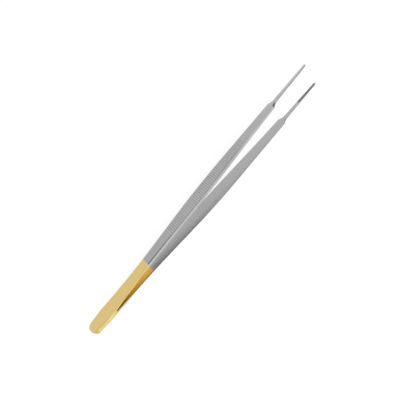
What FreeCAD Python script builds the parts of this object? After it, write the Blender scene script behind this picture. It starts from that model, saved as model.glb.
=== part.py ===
import FreeCAD, Part
import math
import os

# Slender straight tissue forceps: gold plated rear, ribbed grips and hard metal inserts in the tips.
# Millimetres. The forceps lies on its side, as it comes to rest on a table:
# +X runs from the butt to the tips, +Y to the left half, and +Z is up, across the width of the halves.
# The origin is on the table, under the middle of the length.

# Places along the forceps, measured from the butt, and lengths of its front end
overall_length = 180.0
joined_length = 17.4
heel_flat_start = 11.0
heel_flat_end = 13.0
spring_position = 30.0
waist_position = 43.0
plating_end = 47.1
ribs_start = 66.6
widest_position = 92.0
taper_position = 116.0
ribs_end = 128.4
tip_length = 28.0
shoulder_length = 4.0
insert_length = 14.0

# Widths of a half, across its inner face, and the round corners of the butt
butt_width = 7.1
heel_width = 8.4
spring_width = 7.0
waist_width = 6.3
ribs_start_width = 7.0
widest_width = 8.0
taper_width = 6.85
shoulder_width = 4.75
neck_width = 1.7
tip_width = 1.1
butt_radius = 3.4
tip_round = 0.4

# Thicknesses of a half, seen from the side
heel_thickness = 1.8
spring_thickness = 1.5
plating_end_thickness = 1.65
grip_thickness = 1.9
shoulder_thickness = 1.55
neck_thickness = 1.4
tip_thickness = 0.85
insert_thickness = 0.4

# Distances from the middle plane to the inner faces at rest
crotch_gap = 0.35
widest_gap = 4.52
insert_gap = 7.2

# Bevels along the outer faces
edge_bevel = 0.45
rod_bevel = 0.25

# The sides lean in towards the outer face by this much per millimetre, as forged sides do
side_lean = 0.2

# Ribs of the grips
rib_pitch = 1.2
rib_groove_width = 0.95
rib_groove_depth = 0.3

# Cross cuts of the inserts
cut_pitch = 0.5
cut_width = 0.32
cut_depth = 0.1
cut_margin = 0.7

# Steps of the lofted form
butt_steps = 8
blade_steps = 22
shoulder_steps = 5
rod_steps = 4
tip_steps = 4

# Cutting tools stand this far beyond the metal, and start this far above the face they cut
tool_room = 5.0
tool_lift = 0.03

shoulder_position = overall_length - tip_length
neck_position = shoulder_position + shoulder_length
insert_start = overall_length - insert_length
tip_round_start = overall_length - tip_round


def vector(x, y, z=0.0):
    return FreeCAD.Vector(x, y, z)


def smooth_curve(points):
    """A curve through points (x, value) that is read with value(x).y."""
    curve = Part.BSplineCurve()
    curve.interpolate(Points=[vector(x, value) for x, value in points], Parameters=[x for x, value in points])
    return curve


width_curve = smooth_curve(
    (
        (heel_flat_end, heel_width),
        (spring_position, spring_width),
        (waist_position, waist_width),
        (ribs_start, ribs_start_width),
        (widest_position, widest_width),
        (taper_position, taper_width),
        (shoulder_position, shoulder_width),
    )
)

thickness_curve = smooth_curve(
    (
        (spring_position, spring_thickness),
        (plating_end, plating_end_thickness),
        (widest_position, grip_thickness),
        (ribs_end, grip_thickness),
        (shoulder_position, shoulder_thickness),
    )
)

# The inner face is one long arc up to the insert, and runs on straight along it
inner_arc = Part.Arc(
    vector(joined_length, crotch_gap),
    vector(widest_position, widest_gap),
    vector(insert_start, insert_gap),
)
inner_circle = inner_arc.toShape().Curve
insert_slope = (inner_circle.Center.x - insert_start) / (insert_gap - inner_circle.Center.y)


def inner_height(x):
    """Distance from the middle plane to the inner face."""
    if x > insert_start:
        return insert_gap + insert_slope * (x - insert_start)
    return inner_circle.Center.y + math.sqrt(inner_circle.Radius**2 - (x - inner_circle.Center.x) ** 2)


def between(x, start, end, first, last):
    """Straight change from first at start to last at end."""
    return first + (last - first) * (x - start) / (end - start)


def blade_outer_height(x):
    return inner_height(x) + thickness_curve.value(x).y


outer_curve = smooth_curve(
    (
        (0.0, heel_thickness),
        (heel_flat_end, heel_thickness),
        (spring_position, blade_outer_height(spring_position)),
        (plating_end, blade_outer_height(plating_end)),
    )
)


def outer_height(x):
    """Distance from the middle plane to the outer face."""
    if x <= heel_flat_end:
        return heel_thickness - max(edge_bevel - x, 0.0)
    if x <= plating_end:
        return outer_curve.value(x).y
    if x <= shoulder_position:
        return blade_outer_height(x)
    if x <= neck_position:
        thickness = between(x, shoulder_position, neck_position, shoulder_thickness, neck_thickness)
    else:
        thickness = between(x, neck_position, overall_length, neck_thickness, tip_thickness)
    return inner_height(x) + thickness


def half_width(x):
    """Half the width of the outline, seen on the outer face."""
    if x <= butt_radius:
        return butt_width / 2 - butt_radius + math.sqrt(butt_radius**2 - (butt_radius - x) ** 2)
    if x <= heel_flat_start:
        return between(x, butt_radius, heel_flat_start, butt_width, heel_width) / 2
    if x <= heel_flat_end:
        return heel_width / 2
    if x <= shoulder_position:
        return width_curve.value(x).y / 2
    if x <= neck_position:
        drop = (shoulder_width - neck_width) / 2
        shoulder_radius = (shoulder_length**2 + drop**2) / (2 * drop)
        return neck_width / 2 + shoulder_radius - math.sqrt(shoulder_radius**2 - (neck_position - x) ** 2)
    if x <= tip_round_start:
        return between(x, neck_position, tip_round_start, neck_width, tip_width) / 2
    return tip_width / 2 - tip_round + math.sqrt(max(tip_round**2 - (x - tip_round_start) ** 2, 0.0))


def bevel(x):
    """Bevel beside the outer face, which gets smaller at the butt and along the shoulder."""
    if x <= shoulder_position:
        return min(edge_bevel, half_width(x) / 2)
    if x <= neck_position:
        return between(x, shoulder_position, neck_position, edge_bevel, rod_bevel)
    return min(rod_bevel, half_width(x) / 2)


def lean(x):
    """Lean of the sides, which starts after the heel and ends along the shoulder."""
    if x <= heel_flat_end or x >= neck_position:
        return 0.0
    if x <= spring_position:
        return between(x, heel_flat_end, spring_position, 0.0, side_lean)
    if x <= shoulder_position:
        return side_lean
    return between(x, shoulder_position, neck_position, side_lean, 0.0)


def stations():
    """Places of the cross sections, from the butt to the tip."""
    places = []
    for step in range(butt_steps + 1):
        places.append(butt_radius * (1 - math.cos(math.pi / 2 * step / butt_steps)))
    places.append(heel_flat_start)
    for step in range(blade_steps + 1):
        places.append(between(step, 0, blade_steps, heel_flat_end, shoulder_position))
    for step in range(1, shoulder_steps + 1):
        places.append(between(step, 0, shoulder_steps, shoulder_position, neck_position))
    for step in range(1, rod_steps + 1):
        places.append(between(step, 0, rod_steps, neck_position, tip_round_start))
    for step in range(1, tip_steps + 1):
        places.append(tip_round_start + tip_round * math.sin(math.pi / 2 * step / tip_steps))
    return places


def cross_section(x):
    """Outline across a half that is still solid down to the middle plane."""
    outer = outer_height(x)
    cut = bevel(x)
    inner = inner_height(max(x, joined_length))
    middle_side = half_width(x) + lean(x) * inner
    side = middle_side - lean(x) * (outer - cut)
    corners = (
        (0.0, middle_side),
        (outer - cut, side),
        (outer, side - cut),
        (outer, cut - side),
        (outer - cut, -side),
        (0.0, -middle_side),
        (0.0, middle_side),
    )
    return Part.makePolygon([vector(x, y, z) for y, z in corners])


def prism(points, height):
    """Solid of the given height on both sides of the middle of the width."""
    face = Part.Face(Part.makePolygon([vector(x, y, -height) for x, y in points + points[:1]]))
    return face.extrude(vector(0, 0, 2 * height))


def gap_tool():
    """What is cut away between the halves, up to the inner face and the seat of the insert."""
    beyond = overall_length + tool_room
    seat_start = vector(insert_start, insert_gap + insert_thickness)
    seat_end = vector(beyond, inner_height(beyond) + insert_thickness)
    edges = [
        Part.LineSegment(vector(joined_length, -tool_room), vector(joined_length, crotch_gap)).toShape(),
        inner_arc.toShape(),
        Part.LineSegment(vector(insert_start, insert_gap), seat_start).toShape(),
        Part.LineSegment(seat_start, seat_end).toShape(),
        Part.LineSegment(seat_end, vector(beyond, -tool_room)).toShape(),
        Part.LineSegment(vector(beyond, -tool_room), vector(joined_length, -tool_room)).toShape(),
    ]
    face = Part.Face(Part.Wire(edges))
    face.translate(vector(0, 0, -heel_width))
    return face.extrude(vector(0, 0, 2 * heel_width))


def comb(surface, start, end, pitch, groove_width, groove_depth, side):
    """Row of pointed teeth that reach into the surface, from the outside (side 1) or the inside (side -1)."""
    count = int((end - start) / pitch)
    first = (start + end - count * pitch) / 2
    lift = tool_lift * side
    reach = groove_width / 2 * (1 + tool_lift / groove_depth)
    points = []
    for index in range(count):
        middle = first + (index + 0.5) * pitch
        points.append((middle - reach, surface(middle - reach) + lift))
        points.append((middle, surface(middle) - groove_depth * side))
        points.append((middle + reach, surface(middle + reach) + lift))
    back = surface(first) + tool_room * side
    points.append((points[-1][0], back))
    points.append((points[0][0], back))
    return prism(points, heel_width)


def end_box(start, end):
    """Everything between two places along the forceps."""
    reach = overall_length
    return Part.makeBox(end - start, reach, reach, vector(start, -reach / 2, -reach / 2))


def left_half():
    """The left half with its ribs, from butt to tip, and its insert."""
    blank = Part.makeLoft([cross_section(x) for x in stations()], True, True)
    ribs = comb(outer_height, ribs_start, ribs_end, rib_pitch, rib_groove_width, rib_groove_depth, 1)
    half = blank.cut([gap_tool(), ribs])

    insert_side = [
        (insert_start, insert_gap),
        (insert_start, insert_gap + insert_thickness),
        (overall_length + tool_room, inner_height(overall_length + tool_room) + insert_thickness),
        (overall_length + tool_room, inner_height(overall_length + tool_room)),
    ]
    cuts_end = overall_length - cut_margin
    cuts_start = insert_start + cut_margin
    cuts = comb(inner_height, cuts_start, cuts_end, cut_pitch, cut_width, cut_depth, -1)
    insert = blank.common(prism(insert_side, heel_width)).cut(cuts)
    return half, insert


def place(shape):
    """Puts a piece into the forceps' own frame."""
    resting_height = max(heel_width, widest_width) / 2
    shape.translate(vector(-overall_length / 2, 0, resting_height))
    return shape


def main():
    os.makedirs("parts", exist_ok=True)
    half, insert = left_half()
    left_pieces = {
        "rear": half.common(end_box(0.0, plating_end)),
        "limb": half.common(end_box(plating_end, overall_length)),
        "insert": insert,
    }
    for name, piece in left_pieces.items():
        right_piece = piece.mirror(vector(0, 0), vector(0, 1))
        place(piece).exportStep("parts/left_" + name + ".step")
        place(right_piece).exportStep("parts/right_" + name + ".step")
        box = piece.BoundBox
        print(name, len(piece.Solids), piece.isValid(), round(piece.Volume, 2), box)


main()
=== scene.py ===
# %% [markdown]
# Tissue forceps for fine surgery, built around a imported CAD model.
#
# The real instrument is two springy halves of stainless steel, welded at the butt end. The rear quarter
# is plated with gold, the grips are ribbed, and the thin tips carry hard metal inserts. The imported model
# already holds every form at its true size. This script gives each surface its finish, rounds its edges,
# cuts the steel across where the real spring bends and the model only hinges, and lights the forceps as
# in a plain studio picture.

# %% Load the imported model
import math

import bpy
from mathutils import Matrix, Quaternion, Vector


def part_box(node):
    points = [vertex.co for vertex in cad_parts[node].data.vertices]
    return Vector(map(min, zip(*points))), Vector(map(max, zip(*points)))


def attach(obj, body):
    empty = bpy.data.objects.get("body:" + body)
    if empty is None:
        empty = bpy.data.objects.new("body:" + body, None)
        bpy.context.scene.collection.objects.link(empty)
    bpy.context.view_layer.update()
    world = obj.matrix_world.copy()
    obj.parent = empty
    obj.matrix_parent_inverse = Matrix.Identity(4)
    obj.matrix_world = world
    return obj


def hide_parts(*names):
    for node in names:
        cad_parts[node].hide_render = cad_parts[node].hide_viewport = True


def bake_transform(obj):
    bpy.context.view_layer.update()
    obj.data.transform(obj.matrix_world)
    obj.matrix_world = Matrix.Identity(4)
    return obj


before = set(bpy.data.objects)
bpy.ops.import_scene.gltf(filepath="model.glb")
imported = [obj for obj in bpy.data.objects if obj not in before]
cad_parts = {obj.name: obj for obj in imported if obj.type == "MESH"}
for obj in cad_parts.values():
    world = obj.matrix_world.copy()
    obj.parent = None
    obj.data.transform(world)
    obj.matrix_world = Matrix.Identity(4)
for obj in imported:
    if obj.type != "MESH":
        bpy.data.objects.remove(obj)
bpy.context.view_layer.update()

# %% [markdown]
# Lengths on the forceps are written in millimetres, as on a workshop drawing, and turned to metres by one
# factor. Places and sizes in the studio around it are in metres. Blender's operators act on everything
# that is selected, and loading the model leaves its nodes selected, so the first step clears the
# selection.

# %% Millimetres and selection
MM = 0.001


def select_only(*objects):
    """Select these objects and make the first one active."""
    bpy.ops.object.select_all(action="DESELECT")
    for item in objects:
        item.select_set(True)
    bpy.context.view_layer.objects.active = objects[0]


bpy.ops.object.select_all(action="DESELECT")
print("Selected now:", len(bpy.context.selected_objects), "objects")

# %% [markdown]
# The picture looks at the outer face of the near half and the inner face of the far half at once, from
# the left side and above, and it is turned so that the tips point to the upper right. A camera that only
# looks at a target keeps its top edge level, so the turn is added afterwards as a roll about its own
# viewing axis. A 45 mm lens from about 27 cm gives the slight narrowing of the far half.

# %% Camera
camera_distance = 266.8 * MM
camera_elevation = math.radians(42.0)
camera_azimuth = math.radians(91.4)
camera_roll = math.radians(129.3)
camera_target = Vector((0.35, 1.01, 3.12)) * MM
focal_length = 45.0
sensor_width = 36.0
nearest_seen = 10.0 * MM

camera_data = bpy.data.cameras.new("camera")
camera_data.lens = focal_length
camera_data.sensor_width = sensor_width
camera_data.clip_start = nearest_seen
camera = bpy.data.objects.new("camera", camera_data)
bpy.context.scene.collection.objects.link(camera)
bpy.context.scene.camera = camera

towards_camera = Vector((
    math.cos(camera_azimuth) * math.cos(camera_elevation),
    math.sin(camera_azimuth) * math.cos(camera_elevation),
    math.sin(camera_elevation),
))
camera.location = camera_target + towards_camera * camera_distance
camera.rotation_mode = "QUATERNION"
camera.rotation_quaternion = towards_camera.to_track_quat("Z", "Y") @ Quaternion((0, 0, 1), camera_roll)
print("Camera at", [round(v, 4) for v in camera.location])

# %% [markdown]
# Colours are noted as sRGB hex values, the way a picture editor shows them, and one function turns them
# to the linear values that the shaders need. Nodes are added by one small function that sets inputs and
# links, so each material below reads as a list of what it is made of. An input goes by its name, or by
# its number where several share a name: on a mix of colours, input 0 is the factor, 6 and 7 are the two
# colours, and output 2 is the result.

# %% Colours and nodes


def linear(hex_colour):
    """Linear RGBA of an sRGB hex colour."""
    channels = [int(hex_colour[i:i + 2], 16) / 255 for i in (1, 3, 5)]
    return [c / 12.92 if c <= 0.04045 else ((c + 0.055) / 1.055) ** 2.4 for c in channels] + [1.0]


def add_node(tree, kind, inputs=None, **settings):
    """Add a node, set its properties, and fill or link its inputs."""
    node = tree.nodes.new(kind)
    for name, value in settings.items():
        setattr(node, name, value)
    for name, value in (inputs or {}).items():
        if isinstance(value, bpy.types.NodeSocket):
            tree.links.new(value, node.inputs[name])
        else:
            node.inputs[name].default_value = value
    return node


def new_material(name):
    """A material with an empty node tree and its output."""
    material = bpy.data.materials.new(name)
    material.use_nodes = True
    material.node_tree.nodes.clear()
    output = add_node(material.node_tree, "ShaderNodeOutputMaterial")
    return material, material.node_tree, output


print("Middle grey is", round(linear("#808080")[0], 3), "in linear light")

# %% [markdown]
# The studio is a white light table in a white room. Bare metal is mostly a mirror of what surrounds it,
# so the faces of the forceps are as bright as the table below them. What the camera sees directly is
# white, as in the picture, with a faint shadow. The metal sees the same table as a pale grey, which gives
# satin steel its tone.

# %% Light table
table_size = 3.0
table_colour = "#7C7C7C"
table_seen_by_camera = 0.88
table_seen_in_metal = 0.62

table_material, tree, output = new_material("white_light_table")
ray = add_node(tree, "ShaderNodeLightPath")
paint = add_node(tree, "ShaderNodeBsdfDiffuse", {"Color": linear(table_colour)})
in_metal = add_node(
    tree,
    "ShaderNodeMath",
    {0: ray.outputs["Is Glossy Ray"], 1: table_seen_in_metal},
    operation="MULTIPLY",
)
seen = add_node(
    tree,
    "ShaderNodeMath",
    {0: ray.outputs["Is Camera Ray"], 1: table_seen_by_camera, 2: in_metal.outputs[0]},
    operation="MULTIPLY_ADD",
)
glow = add_node(tree, "ShaderNodeEmission", {"Color": (1, 1, 1, 1), "Strength": seen.outputs[0]})
both = add_node(tree, "ShaderNodeAddShader", {0: paint.outputs[0], 1: glow.outputs[0]})
tree.links.new(both.outputs[0], output.inputs["Surface"])

bpy.ops.mesh.primitive_plane_add(size=table_size, location=(0, 0, 0))
table = bpy.context.object
table.name = "table"
table.data.materials.append(table_material)
print("The table is", table_size, "m wide")

# %% [markdown]
# The room is the world around the table. It lights the forceps evenly from all sides, somewhat below
# white, so that the pale metal keeps its tone, and it is white only where the camera looks straight at
# it.

# %% White room
room_light = 0.6
room_seen_in_metal = 0.6

world = bpy.data.worlds.new("room")
bpy.context.scene.world = world
world.use_nodes = True
world.node_tree.nodes.clear()
tree = world.node_tree
ray = add_node(tree, "ShaderNodeLightPath")
unseen = add_node(
    tree,
    "ShaderNodeMix",
    {"Factor": ray.outputs["Is Glossy Ray"], "A": room_light, "B": room_seen_in_metal},
)
seen = add_node(
    tree,
    "ShaderNodeMix",
    {"Factor": ray.outputs["Is Camera Ray"], "A": unseen.outputs["Result"], "B": 1.0},
)
background = add_node(
    tree,
    "ShaderNodeBackground",
    {"Color": (1, 1, 1, 1), "Strength": seen.outputs["Result"]},
)
add_node(tree, "ShaderNodeOutputWorld", {"Surface": background.outputs[0]})
print("The room gives", room_light, "of white")

# %% [markdown]
# One soft box hangs overhead, where the narrow upper sides of the halves mirror it, so they come out
# brighter than the faces. A weaker one in front, above the camera, is mirrored by the bevels beside the
# outer face, which would otherwise be dark lines. A small one behind the butt does the same for the
# joined heel. All three are weak, because most of the light comes from the room.

# %% Soft boxes


def soft_box(name, place, size, power):
    """A square area lamp at a place in metres that faces the forceps."""
    lamp_data = bpy.data.lights.new(name, "AREA")
    lamp_data.size = size
    lamp_data.energy = power
    lamp = bpy.data.objects.new(name, lamp_data)
    bpy.context.scene.collection.objects.link(lamp)
    lamp.location = place
    lamp.rotation_euler = Vector(place).to_track_quat("Z", "Y").to_euler()
    print(name, "gives", power, "W")


soft_box("box_above", place=(0.0, -0.35, 1.3), size=0.8, power=1.15)
soft_box("box_in_front", place=(0.0, 0.84, 0.93), size=0.8, power=0.3)
soft_box("box_behind", place=(-0.42, -0.84, 0.78), size=0.4, power=0.23)
bpy.context.scene.view_settings.view_transform = "Standard"

# %% [markdown]
# Polished steel in an all-white room loses its edges. Photographers set a black card beside it, and the
# metal draws it as a dark line: here along the top of the far half. Only reflections see the card.

# %% Black card
card_colour = "#141414"
card_place = (-0.18, -0.76, 0.26)
card_width = 0.34
card_height = 0.2

card_material, tree, output = new_material("black_card")
card_paint = add_node(tree, "ShaderNodeBsdfDiffuse", {"Color": linear(card_colour)})
tree.links.new(card_paint.outputs[0], output.inputs["Surface"])

bpy.ops.mesh.primitive_plane_add(size=1.0, location=card_place)
card = bpy.context.object
card.name = "black_card"
card.scale = (card_width, card_height, 1.0)
card.rotation_euler = Vector(card_place).to_track_quat("Z", "Y").to_euler()
card.visible_camera = False
card.visible_diffuse = False
card.visible_shadow = False
card.data.materials.append(card_material)
print("The card stands at", card_place)

# %% [markdown]
# Stainless steel for surgical instruments is ground, and then brushed along its length to a satin finish,
# so that it doesn't dazzle under the theatre lamp. To the eye that is a soft even grey with very fine
# lines. Both finishes below start from these lines: noise that is stretched along the half. Real brush
# lines are about a twentieth of a millimetre apart, and here they are drawn a few times coarser, so that
# they show at all.

# %% Brush lines
brush_line = 0.16 * MM
brush_length = 7.0 * MM
brush_depth = 0.01 * MM
brush_strength = 0.12
cloud_size = 9.0 * MM
cloud_share = 0.35
noise_low = 0.3
noise_high = 0.7


def brushed_surface(tree, smoothest, roughest):
    """Brush lines and slow clouds of polish, as height and as roughness between two values."""
    place = add_node(tree, "ShaderNodeTexCoord")
    stretched = add_node(
        tree,
        "ShaderNodeMapping",
        {"Vector": place.outputs["Object"], "Scale": (1 / brush_length, 1 / brush_line, 1 / brush_line)},
    )
    lines = add_node(tree, "ShaderNodeTexNoise", {"Vector": stretched.outputs[0], "Scale": 1.0})
    clouds = add_node(
        tree,
        "ShaderNodeTexNoise",
        {"Vector": place.outputs["Object"], "Scale": 1 / cloud_size},
    )
    mixed = add_node(
        tree,
        "ShaderNodeMix",
        {"Factor": cloud_share, "A": lines.outputs["Fac"], "B": clouds.outputs["Fac"]},
    )
    rough = add_node(
        tree,
        "ShaderNodeMapRange",
        {
            "Value": mixed.outputs["Result"],
            "From Min": noise_low,
            "From Max": noise_high,
            "To Min": smoothest,
            "To Max": roughest,
        },
    )
    bump = add_node(
        tree,
        "ShaderNodeBump",
        {"Height": lines.outputs["Fac"], "Strength": brush_strength, "Distance": brush_depth},
    )
    return place, clouds, rough, bump


print("Brush lines are", round(brush_line / MM, 2), "mm apart")

# %% [markdown]
# The bare steel is one metal, and most of its changes of tone below are painted light and shade. Each is
# found by where a point is and which way it faces. The first is on the ribs: the side of each rib that
# faces the tips is painted lighter and the side behind it darker, a painted highlight and painted shade
# that give the ribs their contrast.

# %% Satin steel and its ribs
# painted shade behind each rib and painted highlight in front of it
rib_shade_colour = "#BCBCBC"
rib_highlight_colour = "#D7D7D7"
rib_side_slope = 0.5
steel_smoothest = 0.26
steel_roughest = 0.38

satin_steel, tree, output = new_material("satin_stainless_steel")
place, _, rough, bump = brushed_surface(tree, steel_smoothest, steel_roughest)
at = add_node(tree, "ShaderNodeSeparateXYZ", {"Vector": place.outputs["Object"]})
facing = add_node(tree, "ShaderNodeSeparateXYZ", {"Vector": place.outputs["Normal"]})
forward = add_node(
    tree,
    "ShaderNodeMapRange",
    {"Value": facing.outputs["X"], "From Min": -rib_side_slope, "From Max": rib_side_slope},
)
steel = add_node(
    tree,
    "ShaderNodeMix",
    {0: forward.outputs[0], 6: linear(rib_shade_colour), 7: linear(rib_highlight_colour)},
    data_type="RGBA",
)
print("Steel goes from", rib_shade_colour, "behind a rib to", rib_highlight_colour, "in front of it")

# %% [markdown]
# The steel is painted a shade darker beside the plating. This painted shade fades out towards the ribs.

# %% Painted shade beside the plating
# this tint multiplies the steel colour as painted shade near the plating
heel_shade_tint = "#F7F7F7"
heel_shade_full_until = -34.0 * MM
heel_shade_gone_from = 2.0 * MM

shaded = add_node(
    tree,
    "ShaderNodeMapRange",
    {"Value": at.outputs["X"], "From Min": heel_shade_gone_from, "From Max": heel_shade_full_until},
)
steel = add_node(
    tree,
    "ShaderNodeMix",
    {0: shaded.outputs[0], 6: steel.outputs[2], 7: linear(heel_shade_tint)},
    data_type="RGBA",
    blend_type="MULTIPLY",
)
print("The steel is dulled over", round((heel_shade_gone_from - heel_shade_full_until) / MM, 1), "mm")

# %% [markdown]
# The bevels are painted darker than the faces. This painted shade is darkest beside the plating, fainter
# along the spring stretch, and gone beside the blade. A bevel faces up and outwards alike. The two parts
# of its direction, multiplied, come near a half there, and near nothing on the flat faces.

# %% Painted shade on the bevels
# both bevel colours are painted shade, darker than the steel beside them
bevel_dark_shade_colour = "#777777"
bevel_faint_shade_colour = "#ACACAC"
bevel_shade_darkest_at = -44.0 * MM
bevel_shade_faint_from = -14.0 * MM
grip_tones_full_until = 25.0 * MM
grip_tones_gone_from = 45.0 * MM
rounded_slant = 0.34
bevel_slant = 0.44

slant = add_node(
    tree,
    "ShaderNodeMath",
    {0: facing.outputs["Y"], 1: facing.outputs["Z"]},
    operation="MULTIPLY",
)
slant = add_node(tree, "ShaderNodeMath", {0: slant.outputs[0]}, operation="ABSOLUTE")
slanted = add_node(
    tree,
    "ShaderNodeMapRange",
    {"Value": slant.outputs[0], "From Min": rounded_slant, "From Max": bevel_slant},
)
along_bevel = add_node(
    tree,
    "ShaderNodeMapRange",
    {"Value": at.outputs["X"], "From Min": bevel_shade_darkest_at, "From Max": bevel_shade_faint_from},
)
bevel_painted_shade = add_node(
    tree,
    "ShaderNodeMix",
    {0: along_bevel.outputs[0], 6: linear(bevel_dark_shade_colour), 7: linear(bevel_faint_shade_colour)},
    data_type="RGBA",
)
before_blade = add_node(
    tree,
    "ShaderNodeMapRange",
    {"Value": at.outputs["X"], "From Min": grip_tones_gone_from, "From Max": grip_tones_full_until},
)
bevels = add_node(
    tree,
    "ShaderNodeMath",
    {0: slanted.outputs[0], 1: before_blade.outputs[0]},
    operation="MULTIPLY",
)
steel = add_node(
    tree,
    "ShaderNodeMix",
    {0: bevels.outputs[0], 6: steel.outputs[2], 7: bevel_painted_shade.outputs[2]},
    data_type="RGBA",
)
print("Bevels go from", bevel_dark_shade_colour, "to", bevel_faint_shade_colour)

# %% [markdown]
# The narrow sides keep their own plain grey right up to the plating, without the painted shade of the
# faces and bevels. Along the grips they are painted a little darker, as painted shade. A side is a face
# that looks straight up or down.

# %% Narrow sides
ground_colour = "#C9C9C9"
# the darker side colour along the grips is painted shade
side_shade_colour = "#BFBFBF"
side_shade_start = -26.0 * MM
side_shade_full = -12.0 * MM
bevel_upright = 0.8
side_upright = 0.95

upright = add_node(tree, "ShaderNodeMath", {0: facing.outputs["Z"]}, operation="ABSOLUTE")
side_face = add_node(
    tree,
    "ShaderNodeMapRange",
    {"Value": upright.outputs[0], "From Min": bevel_upright, "From Max": side_upright},
)
past_spring = add_node(
    tree,
    "ShaderNodeMapRange",
    {"Value": at.outputs["X"], "From Min": side_shade_start, "From Max": side_shade_full},
)
side_tone = add_node(
    tree,
    "ShaderNodeMix",
    {0: past_spring.outputs[0], 6: linear(ground_colour), 7: linear(side_shade_colour)},
    data_type="RGBA",
)
sides = add_node(
    tree,
    "ShaderNodeMath",
    {0: side_face.outputs[0], 1: before_blade.outputs[0]},
    operation="MULTIPLY",
)
steel = add_node(
    tree,
    "ShaderNodeMix",
    {0: sides.outputs[0], 6: steel.outputs[2], 7: side_tone.outputs[2]},
    data_type="RGBA",
)
print("The sides go from", ground_colour, "to", side_shade_colour, "along the grips")

# %% [markdown]
# The thin tips are polished all round, apart from their inner faces, and come out the brightest. A face
# is an inner one where it looks towards the middle plane, so its direction across, times its distance
# from that plane, is well below zero.

# %% Polished tips
polished_colour = "#DCDCDC"
polish_start = 50.0 * MM
polish_full = 78.0 * MM
inwards_limit = -2.0 * MM

outwards = add_node(
    tree,
    "ShaderNodeMath",
    {0: facing.outputs["Y"], 1: at.outputs["Y"]},
    operation="MULTIPLY",
)
not_inner = add_node(
    tree,
    "ShaderNodeMapRange",
    {"Value": outwards.outputs[0], "From Min": inwards_limit, "From Max": 0.0},
)
along_tip = add_node(
    tree,
    "ShaderNodeMapRange",
    {"Value": at.outputs["X"], "From Min": polish_start, "From Max": polish_full},
)
polished = add_node(
    tree,
    "ShaderNodeMath",
    {0: not_inner.outputs[0], 1: along_tip.outputs[0]},
    operation="MULTIPLY",
)
steel = add_node(
    tree,
    "ShaderNodeMix",
    {0: polished.outputs[0], 6: steel.outputs[2], 7: linear(polished_colour)},
    data_type="RGBA",
)
print("The tips are polished from", round(polish_full / MM, 1), "mm on")

# %% [markdown]
# Where the blade narrows to the thin tip, the hollow of the shoulder, which faces forward, is painted dark
# grey: painted shade, on both sides of each half.

# %% Painted shade in the hollows of the shoulders and steel shader
# this dark grey is painted shade in the shoulder hollows
hollow_shade_colour = "#808080"
least_forward = 0.1
fully_forward = 0.35
hollows_start = 60.5 * MM
hollows_full = 61.5 * MM
hollows_fade = 66.0 * MM
hollows_end = 67.5 * MM

hollowed = add_node(
    tree,
    "ShaderNodeMapRange",
    {"Value": facing.outputs["X"], "From Min": least_forward, "From Max": fully_forward},
)
past_blade = add_node(
    tree,
    "ShaderNodeMapRange",
    {"Value": at.outputs["X"], "From Min": hollows_start, "From Max": hollows_full},
)
before_tip = add_node(
    tree,
    "ShaderNodeMapRange",
    {"Value": at.outputs["X"], "From Min": hollows_end, "From Max": hollows_fade},
)
hollows = add_node(
    tree,
    "ShaderNodeMath",
    {0: hollowed.outputs[0], 1: past_blade.outputs[0]},
    operation="MULTIPLY",
)
hollows = add_node(
    tree,
    "ShaderNodeMath",
    {0: hollows.outputs[0], 1: before_tip.outputs[0]},
    operation="MULTIPLY",
)
steel = add_node(
    tree,
    "ShaderNodeMix",
    {0: hollows.outputs[0], 6: steel.outputs[2], 7: linear(hollow_shade_colour)},
    data_type="RGBA",
)
shader = add_node(
    tree,
    "ShaderNodeBsdfPrincipled",
    {
        "Base Color": steel.outputs[2],
        "Metallic": 1.0,
        "Roughness": rough.outputs[0],
        "Normal": bump.outputs[0],
    },
)
tree.links.new(shader.outputs[0], output.inputs["Surface"])
print(satin_steel.name, "has", len(tree.nodes), "nodes")

# %% [markdown]
# The rear is plated with a few micrometres of gold, which marks forceps with hard metal in their tips.
# The plating follows the brushed steel under it and is a little smoother. Its colour is pale, as fine
# gold is in soft light. It deepens where gold mirrors gold, between the halves, and on the narrow sides,
# where shade is painted into it.

# %% Gold plating
gold_colour = "#FCDE93"
thin_gold_colour = "#FEE39C"
gold_smoothest = 0.24
gold_roughest = 0.34

gold_plating, tree, output = new_material("gold_plating")
place, clouds, rough, bump = brushed_surface(tree, gold_smoothest, gold_roughest)
at = add_node(tree, "ShaderNodeSeparateXYZ", {"Vector": place.outputs["Object"]})
facing = add_node(tree, "ShaderNodeSeparateXYZ", {"Vector": place.outputs["Normal"]})
gold = add_node(
    tree,
    "ShaderNodeMix",
    {0: clouds.outputs["Fac"], 6: linear(gold_colour), 7: linear(thin_gold_colour)},
    data_type="RGBA",
)
print("Gold varies between", gold_colour, "and", thin_gold_colour)

# %% [markdown]
# The narrow sides of the gold past the heel are painted a deeper tone, as painted shade. The joined heel
# is twice as broad there and stays pale.

# %% Painted shade on the narrow sides of the gold
# this deeper gold on the narrow sides is painted shade
gold_side_shade_colour = "#E5CB79"
gold_side_shade_start = -74.0 * MM
gold_side_shade_full = -66.0 * MM

upright = add_node(tree, "ShaderNodeMath", {0: facing.outputs["Z"]}, operation="ABSOLUTE")
side_face = add_node(
    tree,
    "ShaderNodeMapRange",
    {"Value": upright.outputs[0], "From Min": bevel_upright, "From Max": side_upright},
)
past_heel = add_node(
    tree,
    "ShaderNodeMapRange",
    {"Value": at.outputs["X"], "From Min": gold_side_shade_start, "From Max": gold_side_shade_full},
)
narrow_sides = add_node(
    tree,
    "ShaderNodeMath",
    {0: side_face.outputs[0], 1: past_heel.outputs[0]},
    operation="MULTIPLY",
)
gold = add_node(
    tree,
    "ShaderNodeMix",
    {0: narrow_sides.outputs[0], 6: gold.outputs[2], 7: linear(gold_side_shade_colour)},
    data_type="RGBA",
)
print("Gold on the narrow sides is", gold_side_shade_colour)

# %% [markdown]
# The front of each half is masked with lacquer while the rear is plated. The lacquer leaves a feathered
# line, which lies about a millimetre further back on the right half. Past the line the bare steel shows.

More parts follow.
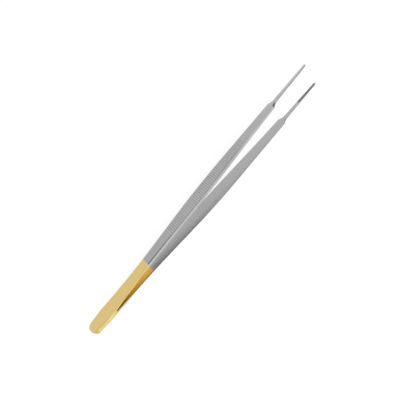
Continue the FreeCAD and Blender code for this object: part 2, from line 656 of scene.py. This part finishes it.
# %% Feathered plating line and gold shader
bare_steel_colour = "#C7C7C7"
plating_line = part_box("left_limb")[0][0]
feather_width = 0.5 * MM
right_line_shift = 1.3 * MM

on_right = add_node(tree, "ShaderNodeMath", {0: at.outputs["Y"], 1: 0.0}, operation="LESS_THAN")
shifted = add_node(
    tree,
    "ShaderNodeMath",
    {0: on_right.outputs[0], 1: right_line_shift, 2: at.outputs["X"]},
    operation="MULTIPLY_ADD",
)
bare = add_node(
    tree,
    "ShaderNodeMapRange",
    {"Value": shifted.outputs[0], "From Min": plating_line - feather_width, "From Max": plating_line},
)
gold = add_node(
    tree,
    "ShaderNodeMix",
    {0: bare.outputs[0], 6: gold.outputs[2], 7: linear(bare_steel_colour)},
    data_type="RGBA",
)
shader = add_node(
    tree,
    "ShaderNodeBsdfPrincipled",
    {
        "Base Color": gold.outputs[2],
        "Metallic": 1.0,
        "Roughness": rough.outputs[0],
        "Normal": bump.outputs[0],
    },
)
tree.links.new(shader.outputs[0], output.inputs["Surface"])
print(gold_plating.name, "ends at", round(plating_line / MM, 2), "mm")

# %% [markdown]
# The inserts are sintered hard metal, tungsten carbide in a little cobalt. It is darker and duller than
# the steel, with a fine even grain, and it is never polished on the side that grips.

# %% Hard metal
hard_metal_colour = "#A0A0A2"
grain_colour = "#808084"
grain_size = 0.05 * MM
grain_depth = 0.01 * MM
grain_strength = 0.25
grain_starts = 0.52
grain_full = 0.66
insert_smoothest = 0.4
insert_roughest = 0.56

hard_metal, tree, output = new_material("sintered_hard_metal")
place = add_node(tree, "ShaderNodeTexCoord")
grain = add_node(
    tree,
    "ShaderNodeTexNoise",
    {"Vector": place.outputs["Object"], "Scale": 1 / grain_size},
)
dark = add_node(
    tree,
    "ShaderNodeMapRange",
    {"Value": grain.outputs["Fac"], "From Min": grain_starts, "From Max": grain_full},
)
colour = add_node(
    tree,
    "ShaderNodeMix",
    {0: dark.outputs[0], 6: linear(hard_metal_colour), 7: linear(grain_colour)},
    data_type="RGBA",
)
rough = add_node(
    tree,
    "ShaderNodeMapRange",
    {"Value": grain.outputs["Fac"], "To Min": insert_smoothest, "To Max": insert_roughest},
)
bump = add_node(
    tree,
    "ShaderNodeBump",
    {"Height": grain.outputs["Fac"], "Strength": grain_strength, "Distance": grain_depth},
)
shader = add_node(
    tree,
    "ShaderNodeBsdfPrincipled",
    {
        "Base Color": colour.outputs[2],
        "Metallic": 1.0,
        "Roughness": rough.outputs[0],
        "Normal": bump.outputs[0],
    },
)
tree.links.new(shader.outputs[0], output.inputs["Surface"])
print(hard_metal.name, "has grains of", round(grain_size / MM, 2), "mm")

# %% [markdown]
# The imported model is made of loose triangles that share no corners. To work on its edges, each node is
# copied, the corners of the copy are merged, and triangles that lie in one plane are joined to whole
# faces again.

# %% Copy of a node as whole faces
MERGE_DISTANCE = 0.0005 * MM
FLAT_ANGLE = math.radians(0.4)


def whole_copy(node_name, piece_name, material):
    """A copy of a CAD node with merged corners and whole faces, in one material."""
    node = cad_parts[node_name]
    piece = bpy.data.objects.new(piece_name, node.data.copy())
    bpy.context.scene.collection.objects.link(piece)
    piece.data.materials.clear()
    piece.data.materials.append(material)
    select_only(piece)
    bpy.ops.object.mode_set(mode="EDIT")
    bpy.ops.mesh.select_all(action="SELECT")
    bpy.ops.mesh.remove_doubles(threshold=MERGE_DISTANCE)
    bpy.ops.mesh.dissolve_limited(angle_limit=FLAT_ANGLE)
    bpy.ops.object.mode_set(mode="OBJECT")
    print(piece_name, "starts with", len(piece.data.polygons), "whole faces")
    return piece


# %% [markdown]
# The real halves have no sharp edge anywhere: after grinding, every edge is broken by hand so that it
# can't cut a glove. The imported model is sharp. So the edges that turn by more than twenty degrees are
# rounded with the bevel operator. Edges at the plating line and in the weld stay as they are, because the
# metal runs on there. Weighted normals then keep the large flat faces flat in the light, as ground steel
# is.

# %% Rounded edges
SHARP_ANGLE = math.radians(20.0)
SMOOTH_ANGLE = math.radians(35.0)
NEAR = 0.002 * MM
BEVEL_SEGMENTS = 2
FLAT_FACE_WEIGHT = 100


def round_edges(piece, width, kept=None):
    """Round the sharp edges of a piece, apart from those whose ends are both kept."""
    select_only(piece)
    bpy.ops.object.mode_set(mode="EDIT")
    bpy.ops.mesh.select_mode(type="EDGE")
    bpy.ops.mesh.select_all(action="DESELECT")
    bpy.ops.mesh.edges_select_sharp(sharpness=SHARP_ANGLE)
    bpy.ops.object.mode_set(mode="OBJECT")
    mesh = piece.data
    for face in mesh.polygons:
        face.select = False
    if kept:
        for edge in mesh.edges:
            if all(kept(mesh.vertices[v].co) for v in edge.vertices):
                edge.select = False
    bpy.ops.object.mode_set(mode="EDIT")
    bpy.ops.mesh.bevel(offset=width, segments=BEVEL_SEGMENTS, profile=0.5, clamp_overlap=True)
    bpy.ops.object.mode_set(mode="OBJECT")
    bpy.ops.object.shade_smooth_by_angle(angle=SMOOTH_ANGLE)
    flats = piece.modifiers.new("flat_faces_stay_flat", "WEIGHTED_NORMAL")
    flats.keep_sharp = True
    flats.weight = FLAT_FACE_WEIGHT
    bpy.ops.object.modifier_apply(modifier=flats.name)
    print(piece.name, "has", len(mesh.polygons), "faces with its rounded edges")


# %% [markdown]
# The model turns each limb on a hinge at the plating line. The real spring has no hinge: it bends over
# the whole thin stretch behind the grips. So the mesh gets cuts across every three millimetres there, on
# which it can bend smoothly.

# %% Cuts along the spring stretch
spring_start = -66.0 * MM
spring_step = 3.0 * MM


def cut_across(piece, start, end):
    """Cut a piece across, step by step, so that it can bend smoothly."""
    select_only(piece)
    bpy.ops.object.mode_set(mode="EDIT")
    place_x = start
    while place_x < end:
        bpy.ops.mesh.select_all(action="SELECT")
        bpy.ops.mesh.bisect(plane_co=(place_x, 0, 0), plane_no=(1, 0, 0), threshold=MERGE_DISTANCE)
        place_x += spring_step
    bpy.ops.object.mode_set(mode="OBJECT")


# %% [markdown]
# Each half gets its two dressed pieces: the gold rear and the steel limb, both cut across along the
# spring stretch.

# %% Halves
ribs_start = -24.0 * MM
clear_of_line = 1.0 * MM
edge_round = 0.07 * MM


def at_plating_line(point):
    return abs(point.x - plating_line) < NEAR


def in_weld(point):
    return abs(point.y) < NEAR


for side in ("left", "right"):
    rear = whole_copy(side + "_rear", side + "_gold_rear", gold_plating)
    cut_across(rear, spring_start, plating_line - clear_of_line)
    round_edges(rear, edge_round, lambda point: at_plating_line(point) or in_weld(point))
    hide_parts(side + "_rear")
    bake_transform(rear)

    limb = whole_copy(side + "_limb", side + "_steel_limb", satin_steel)
    cut_across(limb, plating_line + clear_of_line, ribs_start)
    round_edges(limb, edge_round, at_plating_line)
    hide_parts(side + "_limb")
    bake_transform(limb)

# %% [markdown]
# The face of a hard metal insert is cut both ways, like a fine file, so that it holds a needle or tissue
# without slipping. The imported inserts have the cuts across. Two cuts along each insert turn the bars
# between them to small blunt pyramids: the face is bisected at a cut's middle and edges, and the middle
# goes down.

# %% Inserts
cut_places = (-0.22 * MM, 0.22 * MM)
cut_half_width = 0.09 * MM
cut_depth = 0.07 * MM
insert_round = 0.012 * MM
facing_inwards = 0.5

for side, inwards in (("left", -1), ("right", 1)):
    insert = whole_copy(side + "_insert", side + "_file_cut_insert", hard_metal)
    lowest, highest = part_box(side + "_insert")
    middle_z = (lowest[2] + highest[2]) / 2
    for cut_place in cut_places:
        select_only(insert)
        bpy.ops.object.mode_set(mode="EDIT")
        for offset in (-cut_half_width, 0.0, cut_half_width):
            bpy.ops.mesh.select_all(action="SELECT")
            cut_point = (0, 0, middle_z + cut_place + offset)
            bpy.ops.mesh.bisect(plane_co=cut_point, plane_no=(0, 0, 1), threshold=MERGE_DISTANCE)
        bpy.ops.mesh.select_mode(type="VERT")
        bpy.ops.mesh.select_all(action="DESELECT")
        bpy.ops.object.mode_set(mode="OBJECT")
        mesh = insert.data
        gripping = [face for face in mesh.polygons if face.normal.y * inwards > facing_inwards]
        for index in {v for face in gripping for v in face.vertices}:
            point = mesh.vertices[index]
            point.select = abs(point.co.z - middle_z - cut_place) < NEAR
        bpy.ops.object.mode_set(mode="EDIT")
        bpy.ops.transform.translate(value=(0, -inwards * cut_depth, 0))
        bpy.ops.object.mode_set(mode="OBJECT")
    round_edges(insert, insert_round)
    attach(insert, side + "_limb")
    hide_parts(side + "_insert")
